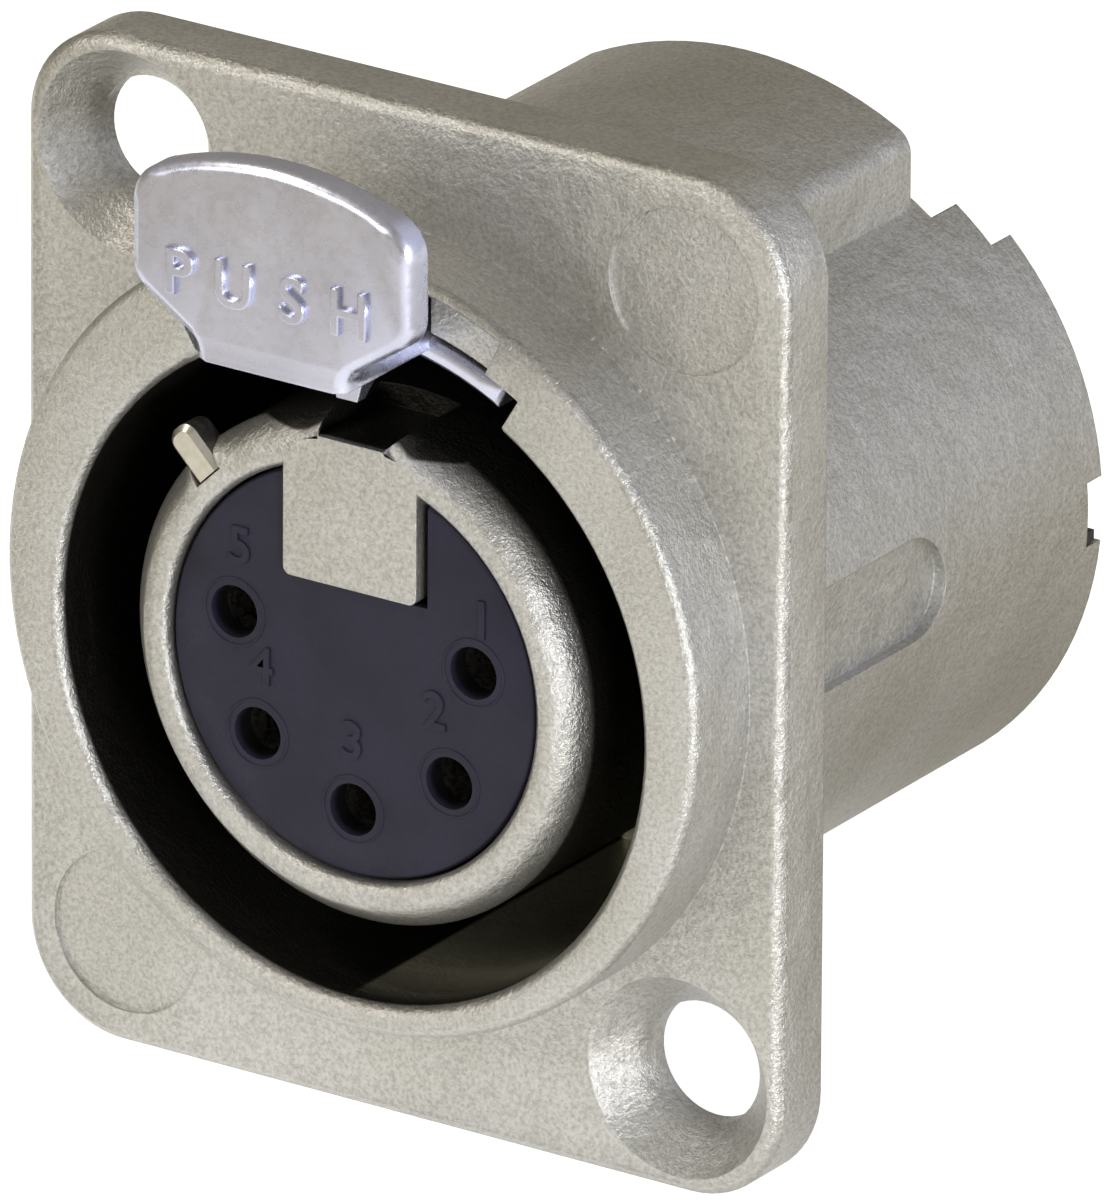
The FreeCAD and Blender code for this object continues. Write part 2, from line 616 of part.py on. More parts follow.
tab = bevelled("tab", tab_corners, (tab_rim, SIZES["tab_bevel"]))
neck = box("neck", mirrored("neck_half"), (TAB_BACK + " - tab_t / 2", neck_end),
           ("neck_low", neck_top))

# Curved plate in the slot, and the tongue behind it with its two snap barbs
plate_y = ("-plate_front", "-plate_front + plate_len")
plate_rod = slice_rod("plate_rod", "plate_r", plate_y, "plate_angle")
plate_hole = rod("plate_hole", tongue_low, (BEFORE, plate_y[1] + " + over"))
plate_block = cut("plate_block", plate_rod, plate_hole)
plate = bevelled("plate", plate_block, (flat_at("Y", -SIZES["plate_front"]), SIZES["plate_bevel"]))
tongue_y = (plate_y[1] + " - sink", "tongue_end")
tongue_rod = rod("tongue_rod", tongue_high, tongue_y)
tongue_hole = rod("tongue_hole", tongue_low, (BEFORE, "tongue_end + over"))
tongue_box = box("tongue_box", mirrored("tongue_half"), tongue_y, (LOW, HIGH))
barbs = box("barbs", mirrored("barb_half"), (barb_front, "tongue_end"), (LOW, HIGH))
tongue_plan = fuse("tongue_plan", tongue_box, barbs)
tongue_full = overlap("tongue_full", tongue_rod, tongue_plan)
slit_x = ("tongue_half - barb_arm - barb_slit", "tongue_half - barb_arm")
slit_y = ("tongue_end - barb_slit_len", "tongue_end + over")
slit_right = box("slit_right", slit_x, slit_y, (LOW, HIGH))
slit_left = box("slit_left", ("-(%s)" % slit_x[1], "-(%s)" % slit_x[0]), slit_y, (LOW, HIGH))
tongue = cut("tongue", tongue_full, tongue_hole, slit_right, slit_left)

# Spigot for the spring, and the nose that drops into the plug
spigot_mid = tongue_low + " + tongue_t / 2 - axis_drop"
spigot = box("spigot", mirrored("spigot_half"), ("tongue_end - sink", "tongue_end + spigot_len"),
             (spigot_mid + " - spigot_half", spigot_mid + " + spigot_half"))
nose = doc.addObject("Part::Wedge", "nose")
bind(nose, Xmin="-nose_half", Xmax="nose_half", X2min="-nose_tip_half", X2max="nose_tip_half")
bind(nose, Ymin="0", Ymax="neck_low + sink - nose_tip", Zmin="0", Zmax="nose_len")
nose.setExpression("Z2min", "0")
nose.setExpression("Z2max", link("nose_tip_len"))
place(nose, "0", "-plate_front - nose_ahead", "neck_low + sink", ALONG_Y)
latch = fuse("latch", tab, neck, plate, tongue, spigot, nose)

# Coil spring between the tongue and the hump's rear wall
coil_len = "hump_len - hump_wall - tongue_end - 2 * wire_r"
helix = doc.addObject("Part::Helix", "helix")
bind(helix, Radius="coil_r", Height=coil_len, Pitch="(%s) / coil_turns" % coil_len)
place(helix, "0", "tongue_end + wire_r", "coil_z", ALONG_Y)
wire = doc.addObject("Part::RegularPolygon", "wire")
wire.Polygon = 4
bind(wire, Circumradius="wire_r")
place(wire, "coil_r", "tongue_end + wire_r", "coil_z")
latch_spring = doc.addObject("Part::Sweep", "latch_spring")
latch_spring.Sections = [wire]
latch_spring.Spine = (helix, [])
latch_spring.Solid = True
latch_spring.Frenet = True

# Insert with its foot, keyway, contact chambers and the gap for the ground contact
INSERT_FACE = FRONT + " + insert_back"
insert_rod = rod("insert_rod", "sleeve_hole_r - insert_gap", (INSERT_FACE, SEAT + " + sink"))
insert_soft = bevelled("insert_soft", insert_rod,
                       (flat_at("Y", FRONT_Y + SIZES["insert_back"]), SIZES["insert_bevel"]))
foot = rod("foot", "room_r - foot_gap", (SEAT, FOOT_BACK))
insert_full = fuse("insert_full", insert_soft, foot)
keyway = box("keyway", ("-key_half - keyway_gap", "key_half + keyway_wide"),
             (BEFORE, "key_end + keyway_wide"), ("key_low - keyway_gap", "sleeve_r"))
insert_cuts = [keyway, turned("foot_slot", "ground_half + 2 * ground_gap", SEAT + " - over",
                              FOOT_BACK + " + over",
                              ("ground_low - 2 * ground_gap", "ground_high + 2 * ground_gap"),
                              SIZES["ground_angle"])]
pole_spots = []
for number in range(5):
    angle = "(pole_first - %d * pole_pitch) * 1 deg" % number
    spot = ("pole_circle_r * cos(%s)" % angle, "pole_circle_r * sin(%s) - axis_drop" % angle)
    pole_spots.append(spot)
    tag = "_%d" % (number + 1)
    insert_cuts.append(rod("pole_hole" + tag, "pole_hole_r",
                           (BEFORE, INSERT_FACE + " + pole_lip + sink"), *spot))
    insert_cuts.append(rod("pole_room" + tag, "pole_room_r",
                           (INSERT_FACE + " + pole_lip", FOOT_BACK + " + over"), *spot))
insert = cut("insert", insert_full, *insert_cuts)

# Five contacts: a slit tube in front, a solder cup behind
TUBE_FRONT = INSERT_FACE + " + pole_lip + pole_gap"
CUP_END = RIM + " + cup_out"
CUP_START = CUP_END + " - cup_len"
contacts = []
for number, (x, z) in enumerate(pole_spots, 1):
    tag = "_%d" % number
    tube = rod("tube" + tag, "pole_room_r - pole_gap", (TUBE_FRONT, CUP_START), x, z)
    cup = rod("cup" + tag, "cup_r", (CUP_START + " - sink", CUP_END), x, z)
    stem = fuse("stem" + tag, tube, cup)
    hole = rod("tube_hole" + tag, "pole_tube_r", (BEFORE, TUBE_FRONT + " + pole_tube_len"), x, z)
    well = rod("cup_hole" + tag, "cup_hole_r", (CUP_END + " - cup_depth", CUP_END + " + over"),
               x, z)
    slit = box("slit" + tag, ("(%s) - pole_slit / 2" % x, "(%s) + pole_slit / 2" % x),
               (BEFORE, TUBE_FRONT + " + pole_slit_len"),
               ("(%s) - pole_room_r" % z, "(%s) + pole_room_r" % z))
    side = box("cup_side" + tag, ("(%s) - pole_room_r" % x, "(%s) + pole_room_r" % x),
               (CUP_END + " - cup_open", CUP_END + " + over"), (z, "(%s) + pole_room_r" % z))
    contacts.append(cut("contact" + tag, stem, hole, well, slit, side))

# Ground contact: a strip along the sleeve with a nub in front and a solder tab behind
strip = rim_box("strip", "ground_half", SLEEVE_FRONT + " + ground_nub / 2", RIM + " + ground_out",
                ("ground_low", "ground_high"))
nub_box = rim_box("nub_box", "ground_half", SLEEVE_FRONT, SLEEVE_FRONT + " + ground_nub",
                  ("ground_low", "ground_peak"))
nub_soft = rounded("nub_soft", nub_box,
                   (both(along_y, near_z(SIZES["ground_peak"])), SIZES["nub_round"]))


def nub_rim(edge):
    return flat_at("Y", SLEEVE_FRONT_Y)(edge) and edge.CenterOfMass.z > SIZES["ground_low"] + 0.01


nub = bevelled("nub", nub_soft, (nub_rim, SIZES["nub_bevel"]))
ground_bar = fuse("ground_bar", strip, nub)
eye = doc.addObject("Part::Cylinder", "eye")
bind(eye, Radius="ground_eye_r", Height="ground_high - ground_low + 2 * over")
place(eye, "0", RIM + " + ground_out - 3 * ground_eye_r", "ground_low - over")
ground_contact = about_axis(cut("ground_contact", ground_bar, eye), SIZES["ground_angle"])

# Rear ring that holds the insert, keyed into the slots of the rim
RING_END = RIM + " - ring_inset"
ring_rod = rod("ring_rod", "room_r - ring_gap", (FOOT_BACK, RING_END))
ring_hole = rod("ring_hole", "ring_in_r", (SEAT, RIM + " + over"))
ring_tube = cut("ring_tube", ring_rod, ring_hole)
ring_y = SIZES["body_len"] - SIZES["ring_inset"]
inner_edge = 2 * SIZES["ring_in_r"]


def ring_inside(edge):
    return flat_at("Y", ring_y)(edge) and edge.BoundBox.XLength < inner_edge + 0.01


ring_soft = bevelled("ring_soft", ring_tube, (ring_inside, SIZES["ring_edge"]))
tab_z = ("rim_notch_z - rim_notch_half + ring_gap / 2",
         "rim_notch_z - rim_notch_half + ring_gap / 2 + ring_tab_t")
TAB_END = RIM + " - ring_tab_in"
ring_arm = box("ring_arm", ("ring_in_r + ring_edge + sink", "room_r - ring_gap"),
               (RING_END + " - 2 * ring_edge", TAB_END), tab_z)
ring_tab = box("ring_tab", ("room_r - ring_gap - sink", "body_r - ring_gap"),
               (RIM + " - rim_cut + side_gap / 2", TAB_END), tab_z)
rear_ring = fuse("rear_ring", ring_soft, ring_arm, ring_tab)

# Check every object, then write one file for each piece
doc.recompute()
pieces = [housing, latch, latch_spring, insert] + contacts + [ground_contact, rear_ring]
for item in doc.Objects:
    if "Invalid" in item.State or "Error" in item.State:
        raise ValueError("%s is in state %s" % (item.Name, item.State))
    if hasattr(item, "Shape") and (item.Shape.isNull() or not item.Shape.isValid()):
        raise ValueError("%s has no valid shape" % item.Name)
os.makedirs("parts", exist_ok=True)
for item in pieces:
    item.Label = item.Name
    print(item.Name, len(item.Shape.Solids), round(item.Shape.Volume, 3))
    item.Shape.exportStep(os.path.join("parts", item.Name + ".step"))
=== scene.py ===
# %% [markdown]
# # A panel socket with a push latch
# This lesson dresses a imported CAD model: a die-cast socket with a keyed sleeve, a steel push
# latch and a dark insert with five contact holes. The CAD gives the shapes in metres, and the
# cells below add shading, finishes, raised letters and light. The model comes first, because
# every piece here rides on one of its two bodies, the base and the push latch.

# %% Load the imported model
import bpy
import bmesh
import json
import math
from mathutils import Matrix, Vector

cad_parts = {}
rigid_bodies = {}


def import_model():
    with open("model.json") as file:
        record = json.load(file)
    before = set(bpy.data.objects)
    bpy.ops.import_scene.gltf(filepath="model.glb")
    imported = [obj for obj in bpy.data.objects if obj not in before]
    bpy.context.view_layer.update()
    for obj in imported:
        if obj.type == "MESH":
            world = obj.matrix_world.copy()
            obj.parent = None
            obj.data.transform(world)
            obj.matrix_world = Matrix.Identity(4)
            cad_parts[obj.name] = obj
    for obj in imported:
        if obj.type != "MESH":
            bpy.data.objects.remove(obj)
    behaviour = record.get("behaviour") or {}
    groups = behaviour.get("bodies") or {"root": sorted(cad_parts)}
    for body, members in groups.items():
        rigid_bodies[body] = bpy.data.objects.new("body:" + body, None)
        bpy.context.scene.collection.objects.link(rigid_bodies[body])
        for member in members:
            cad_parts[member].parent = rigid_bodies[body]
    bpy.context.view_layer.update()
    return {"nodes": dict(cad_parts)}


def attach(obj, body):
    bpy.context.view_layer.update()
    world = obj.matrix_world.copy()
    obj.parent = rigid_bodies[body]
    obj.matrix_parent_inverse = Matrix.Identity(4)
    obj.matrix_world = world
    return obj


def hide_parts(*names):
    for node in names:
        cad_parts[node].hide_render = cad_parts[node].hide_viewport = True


for spare in list(bpy.data.objects):
    bpy.data.objects.remove(spare)
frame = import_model()
MM = 0.001
NODES = frame["nodes"]

# %% [markdown]
# ## Places on the socket
# The flange's back face lies at Y = 0 and the plug's axis runs a little under its middle. The
# numbers below are the few places that the dressing needs, in millimetres and degrees, read off
# the object. Keeping them in one cell means that letters, digits and rings move together.

# %% Note the places that the dressing needs
AXIS_Z = -0.95  # height of the plug's axis
INSERT_FACE_Y = -4.52  # front of the insert
TAB_FACE_Y = -8.95  # front of the lever
EMBOSS = 0.15  # how far the lever's letters stand proud
SLEEVE_Y = (-4.75, -4.25)  # the sleeve's front, and the rear end of its bevel
SLEEVE_R = (7.25, 7.75)  # radius of that bevel in front and behind
HOLE_CIRCLE_R = 4.2  # circle of the contact holes
HOLE_FIRST = 12.8571  # angle of the first hole
HOLE_PITCH = 51.4286  # angle from one hole to the next
print("plug axis at", AXIS_Z, "mm, insert face at", INSERT_FACE_Y, "mm")

# %% [markdown]
# ## Camera
# The photograph looks down from the upper right with a long lens, so its perspective is almost
# flat. A camera far away with a narrow view repeats that. Its three axes are computed from the
# azimuth, the elevation and a small roll, and written into the camera's matrix as columns, which
# avoids any guess about the order of Euler angles.

# %% Place the camera
AZIMUTH = math.radians(33.67)
ELEVATION = math.radians(22.13)
ROLL = math.radians(0.34)
DISTANCE = 845.7
SHIFT_RIGHT = 3.291
SHIFT_DOWN = 0.219
FOCAL_LENGTH = 891.85
back = Vector((math.sin(AZIMUTH) * math.cos(ELEVATION),
               -math.cos(AZIMUTH) * math.cos(ELEVATION), math.sin(ELEVATION)))
right = Vector((math.cos(AZIMUTH), math.sin(AZIMUTH), 0))
up = back.cross(right)
side = right * math.cos(ROLL) + up * math.sin(ROLL)
top = up * math.cos(ROLL) - right * math.sin(ROLL)
stand = (back * DISTANCE + side * SHIFT_RIGHT - top * SHIFT_DOWN) * MM
lens = bpy.data.cameras.new("camera")
lens.lens = FOCAL_LENGTH
lens.clip_start = 0.05
lens.clip_end = 20
camera = bpy.data.objects.new("camera", lens)
bpy.context.scene.collection.objects.link(camera)
camera.matrix_world = Matrix.Translation(stand) @ Matrix((side, top, back)).transposed().to_4x4()
bpy.context.scene.camera = camera
print("camera at", [round(v, 3) for v in stand])

# %% [markdown]
# ## Small helpers for node trees
# Every finish here is a handful of shader nodes. Writing each node on one line, with its values
# and its links, keeps a tree readable, so one helper makes a node, fills in its sockets and
# connects whatever is passed as an output of another node. Some nodes have several inputs of
# the same name, and those are told apart by number: i0 is the first input, i1 the second. The
# other helpers are short names for the nodes that come up again and again.

# %% Make helpers for shader nodes


def node(tree, kind, settings=None, **sockets):
    """Add a node; settings are its properties, sockets its values or links by input name."""
    made = tree.nodes.new(kind)
    for name, value in (settings or {}).items():
        setattr(made, name, value)
    for name, value in sockets.items():
        key = int(name[1:]) if name[0] == "i" and name[1:].isdigit() else name.replace("_", " ")
        if isinstance(value, bpy.types.NodeSocket):
            tree.links.new(value, made.inputs[key])
        else:
            made.inputs[key].default_value = value
    return made


def math_node(tree, operation, **sockets):
    """The result of one Math node."""
    return node(tree, "ShaderNodeMath", {"operation": operation}, **sockets).outputs[0]


def blend(tree, value, low, high, at_low=0.0, at_high=1.0):
    """Goes smoothly from at_low to at_high while a value goes from low to high."""
    return node(tree, "ShaderNodeMapRange", {"interpolation_type": "SMOOTHSTEP"}, Value=value,
                i1=low, i2=high, i3=at_low, i4=at_high).outputs[0]


def ramp(tree, fac, stops):
    """A colour ramp from a list of (position, grey or colour)."""
    made = tree.nodes.new("ShaderNodeValToRGB")
    tree.links.new(fac, made.inputs["Fac"])
    for where, value in stops[1:-1]:
        made.color_ramp.elements.new(where)
    for element, (where, value) in zip(made.color_ramp.elements, stops):
        element.position = where
        element.color = (*value, 1) if isinstance(value, tuple) else (value, value, value, 1)
    return made.outputs["Color"]


def mix_color(tree, factor, first, second, kind="MIX"):
    """Two colours mixed; the factor says how much of the second shows."""
    return node(tree, "ShaderNodeMix", {"data_type": "RGBA", "blend_type": kind}, i0=factor,
                i6=first, i7=second).outputs[2]


print("helpers ready")

# %% [markdown]
# ## Studio: the sky
# Upright faces mirror the floor and level faces mirror the sky behind the socket, so both need
# a design. The photograph's ground is pure white, and the way to reach white without flooding
# the metal with light is to let only the camera, mirror and glass rays see a bright colour: the
# Light Path node tells those rays from the rest. The haze is dim and warm in front and on the
# left, and cooler and brighter at the right behind, where the body's upper side looks.

# %% Build the sky
WHITE_IN_METAL = 0.05  # share of the white sky that mirror rays see
scene = bpy.context.scene
scene.view_settings.view_transform = "Standard"


def seen_rays(tree, in_metal):
    """One for rays that look at a surface directly or through glass, in_metal for mirror rays."""
    rays = node(tree, "ShaderNodeLightPath").outputs
    mirrored = math_node(tree, "MULTIPLY", i0=rays["Is Glossy Ray"], i1=in_metal)
    direct = math_node(tree, "MAXIMUM", i0=rays["Is Camera Ray"], i1=rays["Is Transmission Ray"])
    return math_node(tree, "MAXIMUM", i0=mirrored, i1=direct)


sky = bpy.data.worlds.new("sky")
scene.world = sky
sky.use_nodes = True
tree = sky.node_tree
tree.nodes.clear()
toward = node(tree, "ShaderNodeSeparateXYZ",
              Vector=node(tree, "ShaderNodeTexCoord").outputs["Generated"]).outputs
rightward = blend(tree, toward["X"], -0.15, 0.70)
backward = blend(tree, toward["Y"], -0.50, 0.20, 0.1, 1.0)
cool = math_node(tree, "MULTIPLY", i0=rightward, i1=backward)
haze = ramp(tree, cool, [(0.0, (0.265, 0.235, 0.175)), (1.0, (0.61, 0.61, 0.65))])
dim = node(tree, "ShaderNodeBackground", Color=haze, Strength=1.0)
white = node(tree, "ShaderNodeBackground", Color=(1, 1, 1, 1), Strength=1.0)
mixed = node(tree, "ShaderNodeMixShader", i0=seen_rays(tree, WHITE_IN_METAL),
             i1=dim.outputs[0], i2=white.outputs[0])
node(tree, "ShaderNodeOutputWorld", Surface=mixed.outputs[0])
print("sky:", len(tree.nodes), "nodes")

# %% [markdown]
# ## Studio: the floor
# A plain pale floor keeps the socket's shadow and looks almost white to the camera: its glow
# stays a little under one, or the shadow would drown in it. What the metal mirrors of that glow
# is a band across the floor: bright where the lower half of the flange looks, dim where its top
# looks, and dim on the right where the side faces look. A round pool of the same glow lies at the
# front right, where only the bevels on the right edges look, and draws a fine line along them.

# %% Build the floor
FLOOR_REACH = 3.0
FLOOR_Z = -15.52 * MM
FLOOR_GLOW = 0.86
BAND_WAY = (-0.75, -0.66, 0.0)  # the direction in which the band changes
BAND_HALF = 0.1
POOL = (0.041, -0.028, FLOOR_Z)
corners = [(x * FLOOR_REACH, y * FLOOR_REACH, FLOOR_Z)
           for x, y in ((-1, -1), (1, -1), (1, 1), (-1, 1))]
floor_mesh = bpy.data.meshes.new("floor")
floor_mesh.from_pydata(corners, [], [(0, 1, 2, 3)])
floor = bpy.data.objects.new("floor", floor_mesh)
scene.collection.objects.link(floor)
floor_look = bpy.data.materials.new("pale_floor")
floor_look.use_nodes = True
tree = floor_look.node_tree
tree.nodes.clear()
place = node(tree, "ShaderNodeTexCoord").outputs["Object"]
way = node(tree, "ShaderNodeVectorMath", {"operation": "DOT_PRODUCT"}, i0=place,
           i1=BAND_WAY).outputs["Value"]
along = node(tree, "ShaderNodeMapRange", Value=way, i1=-BAND_HALF, i2=BAND_HALF, i3=0.0,
             i4=1.0).outputs[0]
band = ramp(tree, along, [(0.0, 0.50), (0.15, 0.40), (0.27, 0.05), (0.40, 0.15), (0.49, 0.92),
                          (0.55, 0.93), (0.74, 0.93), (0.84, 0.16), (0.94, 0.02)])
away = node(tree, "ShaderNodeVectorMath", {"operation": "DISTANCE"}, i0=place,
            i1=POOL).outputs["Value"]
near = blend(tree, away, 0.026, 0.046, 1.0, 0.0)
mirrored = math_node(tree, "MAXIMUM", i0=band, i1=near)
paint = node(tree, "ShaderNodeBsdfDiffuse", Color=(0.70, 0.655, 0.53, 1))
glow = node(tree, "ShaderNodeEmission", Color=(0.93, 0.96, 1.0, 1), Strength=FLOOR_GLOW)
both = node(tree, "ShaderNodeAddShader", i0=paint.outputs[0], i1=glow.outputs[0])
seen = node(tree, "ShaderNodeMixShader", i0=seen_rays(tree, mirrored), i1=paint.outputs[0],
            i2=both.outputs[0])
node(tree, "ShaderNodeOutputMaterial", Surface=seen.outputs[0])
floor_mesh.materials.append(floor_look)
print("floor at", round(FLOOR_Z / MM, 3), "mm")

# %% [markdown]
# ## Studio: lamps
# Cream glints run along the left and upper edges of the flange and the sleeve, and the face of
# the flange is evenly lit, so a wide soft box stands at the upper left in front. A cooler one
# lights the body from the right. A small warm lamp above the left picks out the upper edges,
# and a low, flat one at the front right gives the sleeve and the countersink their glints.

# %% Hang the lamps


def soft_box(name, place, aim, width, height, watts, color):
    """An area lamp that points at a spot; places and sizes in metres."""
    data = bpy.data.lights.new(name, "AREA")
    data.shape = "RECTANGLE"
    data.size = width
    data.size_y = height
    data.energy = watts
    data.color = color
    lamp = bpy.data.objects.new(name, data)
    turn = (Vector(aim) - Vector(place)).to_track_quat("-Z", "Y")
    lamp.matrix_world = Matrix.Translation(place) @ turn.to_matrix().to_4x4()
    scene.collection.objects.link(lamp)
    return lamp


lamps = [
    soft_box("key_lamp", (-0.26, -0.46, 0.24), (0, 0, 0), 0.26, 0.22, 0.90, (1.0, 0.98, 0.94)),
    soft_box("side_lamp", (0.50, -0.10, 0.12), (0, 0.005, 0), 0.24, 0.20, 0.72, (0.88, 0.91, 1.0)),
    soft_box("rim_lamp", (-0.26, -0.19, 0.39), (0, 0, 0), 0.05, 0.05, 0.50, (1.0, 0.93, 0.80)),
    soft_box("edge_lamp", (0.41, -0.28, 0.012), (0, 0, 0), 0.14, 0.045, 0.9, (1, 1, 1)),
]
print("lamps:", [lamp.name for lamp in lamps])

# %% [markdown]
# ## Plain meshes from drafts
# Modifiers and text are handy to build with, but a finished piece is a plain mesh. Asking
# Blender for the evaluated result of a draft object gives exactly that, so one helper makes the
# draft, reads its result and throws the draft away.

# %% Make a helper that finishes a mesh


def finished(name, mesh, modifiers=()):
    """Apply modifiers to a mesh and return a plain object in the scene."""
    draft = bpy.data.objects.new(name + "_draft", mesh)
    scene.collection.objects.link(draft)
    for kind, settings in modifiers:
        modifier = draft.modifiers.new(kind.lower(), kind)
        for key, value in settings.items():
            setattr(modifier, key, value)
    graph = bpy.context.evaluated_depsgraph_get()
    result = bpy.data.meshes.new_from_object(draft.evaluated_get(graph))
    result.name = name
    bpy.data.objects.remove(draft)
    made = bpy.data.objects.new(name, result)
    scene.collection.objects.link(made)
    return made


print("finishing helper ready")

# %% [markdown]
# ## Welded copies of the CAD meshes
# A CAD mesh arrives as loose facets with its own normals, so every small bevel shows as a hard
# strip. Real castings have soft edges. A welded copy, shaded smooth and weighted by face area,
# keeps the wide faces flat and lets each narrow bevel carry the whole turn between them, which
# reads as a rounding without a single extra triangle. Two copies are also moved a little: the
# lever steps back to leave room for its letters, and the sleeve's front bevel gets wider.

# %% Make welded copies with weighted normals
WELD_DISTANCE = 2e-7
SLEEVE_INWARD = 0.20
SLEEVE_BACKWARD = 0.30


def welded(name, node_name, sharp_degrees, lift=None):
    """A smooth copy of a CAD node that stands for it; lift may move its vertices."""
    shape = bmesh.new()
    shape.from_mesh(NODES[node_name].data)
    bmesh.ops.remove_doubles(shape, verts=shape.verts, dist=WELD_DISTANCE)
    for vert in shape.verts:
        if lift:
            lift(vert.co)
    limit = math.radians(sharp_degrees)
    for edge in shape.edges:
        edge.smooth = len(edge.link_faces) == 2 and edge.calc_face_angle(0) < limit
    for face in shape.faces:
        face.smooth = True
    mesh = bpy.data.meshes.new(name)
    shape.to_mesh(mesh)
    shape.free()
    if "custom_normal" in mesh.attributes:
        mesh.attributes.remove(mesh.attributes["custom_normal"])
    return finished(name, mesh, [("WEIGHTED_NORMAL", {"keep_sharp": True, "weight": 80})])


def step_back(point):
    """Leave room for the raised letters in front of the lever."""
    if point.y < (TAB_FACE_Y + 0.01) * MM:
        point.y += EMBOSS * MM


def on_ring(point, radius, y):
    """True for a point on a circle about the plug's axis; sizes in millimetres."""
    reach = math.hypot(point.x, point.z - AXIS_Z * MM)
    return abs(reach - radius * MM) < 0.02 * MM and abs(point.y - y * MM) < 0.01 * MM


def widen_sleeve_edge(point):
    """Move the two rims of the sleeve's bevel apart, so that it carries a wider rounding."""
    if on_ring(point, SLEEVE_R[0], SLEEVE_Y[0]):
        shrink = (SLEEVE_R[0] - SLEEVE_INWARD) / SLEEVE_R[0]
        point.x *= shrink
        point.z = (point.z - AXIS_Z * MM) * shrink + AXIS_Z * MM
    if on_ring(point, SLEEVE_R[1], SLEEVE_Y[1]):
        point.y += SLEEVE_BACKWARD * MM


casting = welded("casting_body", "housing", 49, widen_sleeve_edge)
lever = welded("push_lever", "latch", 46, step_back)
carrier = welded("contact_carrier", "insert", 46)
for piece, node_name, body in ((casting, "housing", "base"), (lever, "latch", "push_latch"),
                               (carrier, "insert", "base")):
    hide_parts(node_name)
    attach(piece, body)
    print(piece.name, len(piece.data.vertices), "vertices", len(piece.data.polygons), "faces")

# %% [markdown]
# ## What every finish shares
# Each finish is one Principled shader on object coordinates, with a colour and a roughness that
# vary a little and small bumps on top. The Bevel node also rounds the shading of edges that are
# too fine to model. These helpers hold that pattern, so that a finish below only says how it
# differs from the others.

# %% Make helpers for finishes


def principled(name, **sockets):
    """A new material with one Principled shader; plain values sit on its own sockets."""
    look = bpy.data.materials.new(name)
    look.use_nodes = True
    tree = look.node_tree
    tree.nodes.clear()
    place = node(tree, "ShaderNodeTexCoord").outputs["Object"]
    shader = node(tree, "ShaderNodeBsdfPrincipled", **sockets)
    node(tree, "ShaderNodeOutputMaterial", Surface=shader.outputs[0])
    return look, tree, place, shader


def noise(tree, place, per_mm, detail=2.0, roughness=0.5):
    """Noise whose main bumps are about 1 / per_mm millimetres wide."""
    return node(tree, "ShaderNodeTexNoise", Vector=place, Scale=per_mm / MM, Detail=detail,
                Roughness=roughness).outputs["Fac"]


def bumps(tree, heights, strength, deep_mm, edge_mm=None):
    """Small bumps; with edge_mm the shading of edges is rounded by that radius as well."""
    sockets = {"Strength": strength, "Distance": deep_mm * MM, "Height": heights}
    if edge_mm:
        sockets["Normal"] = node(tree, "ShaderNodeBevel", {"samples": 4},
                                 Radius=edge_mm * MM).outputs[0]
    return node(tree, "ShaderNodeBump", **sockets).outputs[0]


def coat(tree, shader, color, roughness, normal):
    """Link a varying colour, a varying roughness and bumps to the shader."""
    for name, value in (("Base Color", color), ("Roughness", roughness), ("Normal", normal)):
        tree.links.new(value, shader.inputs[name])


def wear(piece, look):
    """Give a piece one material and no other."""
    piece.data.materials.clear()
    piece.data.materials.append(look)
    print(piece.name, "wears", look.name)


print("finish helpers ready")

# %% [markdown]
# ## Finish of the casting
# The zinc casting is blasted and then plated in a warm satin nickel. Three scales matter: fine
# grain of about a tenth of a millimetre that breaks up every highlight, a slower swell that is
# left from casting, and slight warm and cool patches in the plating. Noise on object
# coordinates gives all three, and the roughness follows the grain a little.

# %% Mix the satin nickel of the casting
SWELL_TIMES = 2.5  # how much stronger the swell bumps than the grain
nickel, tree, place, shader = principled("satin_nickel", Metallic=0.85, IOR=1.5)
grain = noise(tree, place, 7.0, 3.0, 0.75)
swell = noise(tree, place, 0.9, 2.0)
patches = noise(tree, place, 0.22, 1.0)
tint = ramp(tree, patches, [(0.35, (0.565, 0.560, 0.535)), (0.65, (0.615, 0.612, 0.602))])
speckle = ramp(tree, grain, [(0.34, 0.70), (0.60, 1.0)])
plated = mix_color(tree, 1.0, tint, speckle, "MULTIPLY")
heights = math_node(tree, "MULTIPLY_ADD", i0=swell, i1=SWELL_TIMES, i2=grain)
print("nickel:", len(tree.nodes), "nodes so far")

# %% [markdown]
# ## Painted shade and light in the opening
# The wall of the opening, the outside of the sleeve, the slot behind the lever and the dip above
# the sleeve are almost black in the photograph, much darker than shadow alone makes them here.
# So shade is painted there: the colour itself is darkened. Each place is a mask, made of smooth
# steps on X, Y, Z and the distance R from the plug's axis. A stretch of the wall low on the right
# gets painted light instead, a pale patch that stands for light falling into the opening there.

# %% Paint shade and light into the opening and hand out the nickel
# painted shade: a near black colour for the wall, the sleeve's outside, the slot and the dip
PAINTED_SHADE = (0.034, 0.033, 0.028, 1)
# painted light: a pale colour for a lit patch low on the right of the wall
PAINTED_LIT_PATCH = (0.95, 0.93, 0.72, 1)
WALL_STEPS = [("Y", -4.62, -4.45), ("Y", 12.60, 12.40), ("R", 9.00, 9.05), ("R", 10.05, 10.00)]
SLEEVE_STEPS = [("Y", -4.15, -3.70), ("Y", 12.60, 12.40), ("R", 7.20, 7.55), ("R", 9.05, 9.00)]
SLOT_STEPS = [("Y", -4.60, -4.45), ("Y", -0.55, -0.60), ("Z", 6.00, 6.05), ("R", 11.32, 11.28)]
DIP_STEPS = [("Y", -4.62, -4.45), ("Z", 5.95, 6.05), ("R", 7.80, 7.78)]
